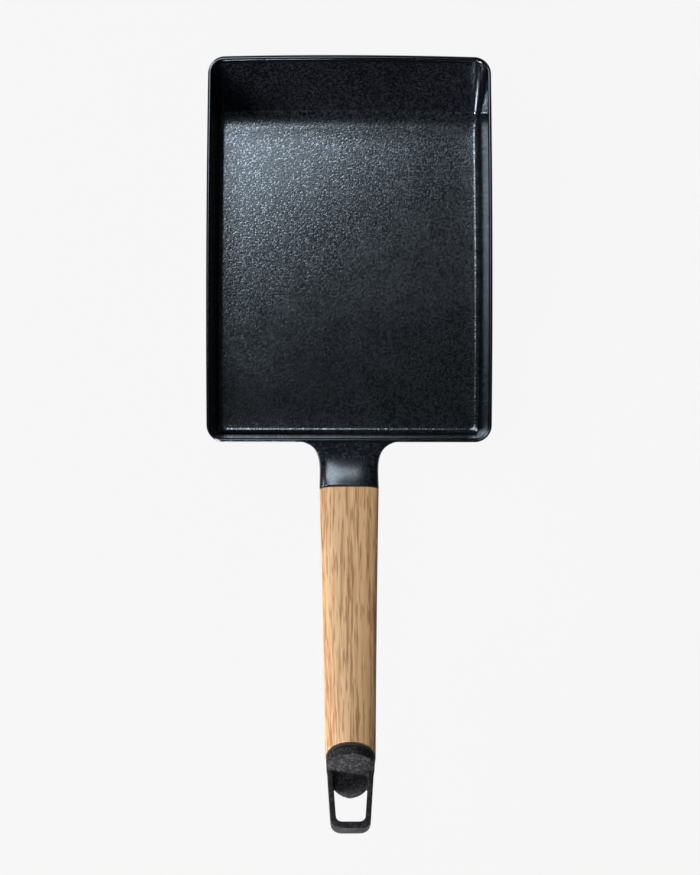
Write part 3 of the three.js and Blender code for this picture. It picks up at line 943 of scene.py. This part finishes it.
# %% Thread tree
THREAD_PITCH, THREAD_DEPTH = 1.0, 0.35
SPIRAL_STEPS, RIDGE_SIDES = 40, 6
thread_tree, thread, thread_end = new_group(
    "GeometryNodeTree",
    "rod_thread",
    [(title, "NodeSocketFloat", None) for title in ("Turns", "Pitch", "Radius", "Ridge")]
    + [("Material", "NodeSocketMaterial", None)],
    [("Thread", "NodeSocketGeometry")],
)
spiral = add_node(
    thread_tree, "GeometryNodeCurveSpiral", Resolution=SPIRAL_STEPS, Rotations=thread["Turns"],
    Start_Radius=thread["Radius"], End_Radius=thread["Radius"], Height=thread["Turns"] * thread["Pitch"],
)
ridge = add_node(
    thread_tree, "GeometryNodeCurvePrimitiveCircle", Resolution=RIDGE_SIDES, Radius=thread["Ridge"]
)
swept = add_node(
    thread_tree, "GeometryNodeCurveToMesh",
    Curve=out(thread_tree, spiral), Profile_Curve=out(thread_tree, ridge), Fill_Caps=True,
)
solid_thread = add_node(thread_tree, "GeometryNodeRealizeInstances", Geometry=out(thread_tree, swept))
plated = add_node(
    thread_tree, "GeometryNodeSetMaterial",
    Geometry=out(thread_tree, solid_thread), Material=thread["Material"],
)
plug(thread_tree, thread_end.inputs["Thread"], out(thread_tree, plated))
print("thread tree:", len(thread_tree.nodes), "nodes")

# %% [markdown]
# Step 19: the tie rod
#
# The rod runs from the nut under the neck to the blind end of the cap's plug. It is turned from pairs
# of diameter and distance, and the thread's ridge is joined to the end that shows in the pocket.

# %% Tie rod
WASHER, SPRING, NUT_HEIGHT, ROD_PAST_NUT = 1.6, 1.6, 5.0, 2.5
CHAMFER, SHANK, NECK_THREAD, THREAD_TURNS = 0.6, 5.3, 22.0, 4.0
STEEL_SHARP = radians(30)
washer_end = -BULKHEAD - SEAT_GAP
spring_end = washer_end - WASHER - SEAT_GAP
nut_end = spring_end - SPRING - SEAT_GAP
rod_start = nut_end - NUT_HEIGHT - ROD_PAST_NUT


def turned_bar(name, profile):
    """A solid turned about the tie rod's axis from pairs of diameter and distance."""
    return loft(name, [on_handle(oval_ring(d, width / 2, width / 2)) for width, d in profile])


tie_rod = turned_bar("tie_rod", [
    (ROD_THREAD - 2 * CHAMFER, rod_start), (ROD_THREAD - THREAD_DEPTH, rod_start + CHAMFER),
    (ROD_THREAD - THREAD_DEPTH, rod_start + NECK_THREAD), (SHANK, rod_start + NECK_THREAD + CHAMFER),
    (SHANK, PLUG_START - CHAMFER), (ROD_THREAD, PLUG_START), (ROD_THREAD, ROD_END - CHAMFER),
    (ROD_THREAD - 2 * CHAMFER, ROD_END),
])
ridge_piece = grow_by_nodes("thread", thread_tree, {
    "Turns": THREAD_TURNS, "Pitch": THREAD_PITCH, "Radius": ROD_THREAD / 2 - THREAD_DEPTH / 2,
    "Ridge": THREAD_DEPTH / 2, "Material": steel,
})
along_rod = Matrix.Translation((0, -(rod_start + CHAMFER), 0)) @ Matrix.Rotation(pi / 2, 4, "X")
ridge_piece.data.transform(Matrix.Scale(MM, 4) @ handle_frame @ along_rod)
turn_outwards(ridge_piece.data)
combine(tie_rod, ridge_piece, "UNION")
polish(tie_rod, steel, "tie_rod", STEEL_SHARP)

# %% [markdown]
# Step 20: washers and nut
#
# Both washers and the nut are turned about the rod's axis and bored. A slanted slit splits the spring
# washer, and a hexagon cuts the flats of the nut, so its chamfer leaves the usual curves at the
# corners.

# %% Washers and nut
WASHER_WIDTH, SPRING_WIDTH, SPRING_SLIT = 12.0, 10.6, 1.2
WASHER_EDGE, SPRING_EDGE = 0.2, 0.15
NUT_FLATS, NUT_SIDES, NUT_FACE_STEP, NUT_SHARP = 10.0, 6, 0.2, radians(25)
NUT_CORNERS = NUT_FLATS / cos(pi / NUT_SIDES)


def bored(piece, start, end):
    hole = turned_bar("hole", [(ROD_BORE, start - OVERCUT), (ROD_BORE, end + OVERCUT)])
    return combine(piece, hole, "DIFFERENCE")


def turned_ring(name, width, start, end, edge):
    body = [(width - 2 * edge, start), (width, start + edge), (width, end - edge), (width - 2 * edge, end)]
    return bored(turned_bar(name, body), start, end)


rod_washer = turned_ring("rod_washer", WASHER_WIDTH, washer_end - WASHER, washer_end, WASHER_EDGE)
polish(rod_washer, steel, "rod_washer", STEEL_SHARP)

spring_start = spring_end - SPRING
spring_washer = turned_ring("spring_washer", SPRING_WIDTH, spring_start, spring_end, SPRING_EDGE)
slit_half = SPRING_SLIT / 2 / cos(pi / 4)
slit = []
for d in (spring_start - OVERCUT, spring_end + OVERCUT):
    shift = d - (spring_end - SPRING / 2)
    left, right = shift - slit_half, shift + slit_half
    corners = [(left, 0), (right, 0), (right, SPRING_WIDTH), (left, SPRING_WIDTH)]
    slit.append(on_handle([(x, -d, z) for x, z in corners]))
combine(spring_washer, loft("slit", slit), "DIFFERENCE")
polish(spring_washer, steel, "spring_washer", STEEL_SHARP)

nut_start = nut_end - NUT_HEIGHT
rod_nut = turned_bar("rod_nut", [
    (NUT_FLATS - NUT_FACE_STEP, nut_end), (NUT_CORNERS, nut_end - CHAMFER),
    (NUT_CORNERS, nut_start + CHAMFER), (NUT_FLATS - NUT_FACE_STEP, nut_start),
])
hexagon = []
for d in (nut_start - OVERCUT, nut_end + OVERCUT):
    ring = oval_ring(d, NUT_CORNERS / 2, NUT_CORNERS / 2, NUT_SIDES)
    hexagon.append(on_handle(ring[:, [2, 1, 0]]))
combine(rod_nut, loft("hexagon", hexagon), "INTERSECT")
bored(rod_nut, nut_start, nut_end)
polish(rod_nut, steel, "rod_nut", NUT_SHARP)

# %% [markdown]
# Step 21: table and room
#
# The pan lies on a pale table. To the camera the table is nearly all white glow, so the background
# stays even, and the rest of it is a real lit surface, so the pan keeps its shadow. Reflections see
# about half of that white. The room around the table is dim, and white to the camera.

# %% Table and room
BACKGROUND, ROOM = 0.93, 0.025
TABLE_GLOW, TABLE_GREY = 0.978, 0.15
TABLE_HALF, TABLE_DROP = 3000.0, 0.3
CAMERA_WHITE, MIRRORED_WHITE = 0.93, 0.45
table_paint = bpy.data.materials.new("pale_table")
table_paint.use_nodes = True
tree = table_paint.node_tree
tree.nodes.clear()
seen = tree.nodes.new("ShaderNodeLightPath")
mirrored = out(tree, seen, "Is Glossy Ray").call("MAXIMUM", out(tree, seen, "Is Transmission Ray"))
white_share = (out(tree, seen, "Is Camera Ray") * CAMERA_WHITE).call("MAXIMUM", mirrored * MIRRORED_WHITE)
lit = add_node(tree, "ShaderNodeBsdfDiffuse", Color=(TABLE_GREY, TABLE_GREY, TABLE_GREY, 1))
white = add_node(tree, "ShaderNodeEmission", Color=(TABLE_GLOW, TABLE_GLOW, TABLE_GLOW, 1), Strength=1.0)
mixed = tree.nodes.new("ShaderNodeMixShader")
plug(tree, mixed.inputs[0], white_share)
tree.links.new(lit.outputs[0], mixed.inputs[1])
tree.links.new(white.outputs[0], mixed.inputs[2])
tree.links.new(mixed.outputs[0], tree.nodes.new("ShaderNodeOutputMaterial").inputs["Surface"])
table_corners = [(x * TABLE_HALF, y * TABLE_HALF, -TABLE_DROP) for x, y in SQUARE]
table = new_piece("table", table_corners, [[0, 1, 2, 3]])
table.data.materials.append(table_paint)

world = bpy.data.worlds.new("dim_studio")
bpy.context.scene.world = world
world.use_nodes = True
tree = world.node_tree
sky = tree.nodes["Background"]
seen = tree.nodes.new("ShaderNodeLightPath")
sky_strength = remap(tree, out(tree, seen, "Is Camera Ray"), 0.0, 1.0, ROOM, BACKGROUND, "LINEAR")
plug(tree, sky.inputs["Strength"], sky_strength)
sky.inputs["Color"].default_value = (1, 1, 1, 1)
print("table and room ready")

# %% [markdown]
# Step 22: lamps and camera
#
# The key lamp is a large soft box over the far left: its blurred reflection makes the bright far left
# of the floor and the slow fall into black at the near right. The side lamp shapes the wood. The front
# lamp and the low sill lamp stand beyond the handle's end and light the far wall, the rims and the
# neck. A narrow end lamp opens the cap's slanted face. The camera looks straight down.

# %% Lamps and camera
RIM_MIDDLE = Vector((0, (NEAR_RIM + RIM_LENGTH / 2) * MM, 0))
WHITE_LIGHT, WARM_LIGHT = (1, 1, 1), (1.0, 0.9, 0.93)
END_SPREAD = radians(10)
SENSOR_HEIGHT, LENS = 36.0, 107.08
CAMERA_PLACE = Vector((-0.01787, -0.09479, 1.336))
CAMERA_TURN = (0, radians(-0.804), radians(0.075))


def soft_box(name, place, target, size, watts, colour=WHITE_LIGHT):
    """A rectangular lamp at a place, aimed at a target, both measured in metres from the rim's middle."""
    lamp = bpy.data.lights.new(name, "AREA")
    lamp.shape = "RECTANGLE"
    lamp.size, lamp.size_y = size
    lamp.energy, lamp.color = watts, colour
    obj = bpy.data.objects.new(name, lamp)
    bpy.context.scene.collection.objects.link(obj)
    aim = Vector(place) - Vector(target)
    obj.location = RIM_MIDDLE + Vector(place)
    obj.rotation_euler = aim.to_track_quat("Z", "Y").to_euler()
    return obj


soft_box("key", (-0.231, 0.296, 1.0), (0, -0.012, 0), (0.45, 0.45), 5.3)
soft_box("side", (-0.75, 0.6, 0.5), (0, -0.162, 0.05), (0.5, 0.5), 10.0)
soft_box("front", (-0.5, -1.1, 0.46), (0, 0.05, 0.02), (0.3, 0.3), 27.0, WARM_LIGHT)
soft_box("sill", (-0.09, -1.15, 0.13), (0, 0.09, 0.03), (0.14, 0.1), 3.6)
end_lamp = soft_box("end", (-0.33, -0.912, 0.43), (0, -0.262, 0.09), (0.12, 0.12), 0.08)
end_lamp.data.spread = END_SPREAD

camera_data = bpy.data.cameras.new("camera")
camera_data.sensor_fit = "VERTICAL"
camera_data.sensor_height = SENSOR_HEIGHT
camera_data.lens = LENS
camera = bpy.data.objects.new("camera", camera_data)
bpy.context.scene.collection.objects.link(camera)
camera.location = RIM_MIDDLE + CAMERA_PLACE
camera.rotation_euler = CAMERA_TURN
bpy.context.scene.camera = camera
bpy.context.scene.view_settings.view_transform = "Standard"
print("lamps and camera ready")
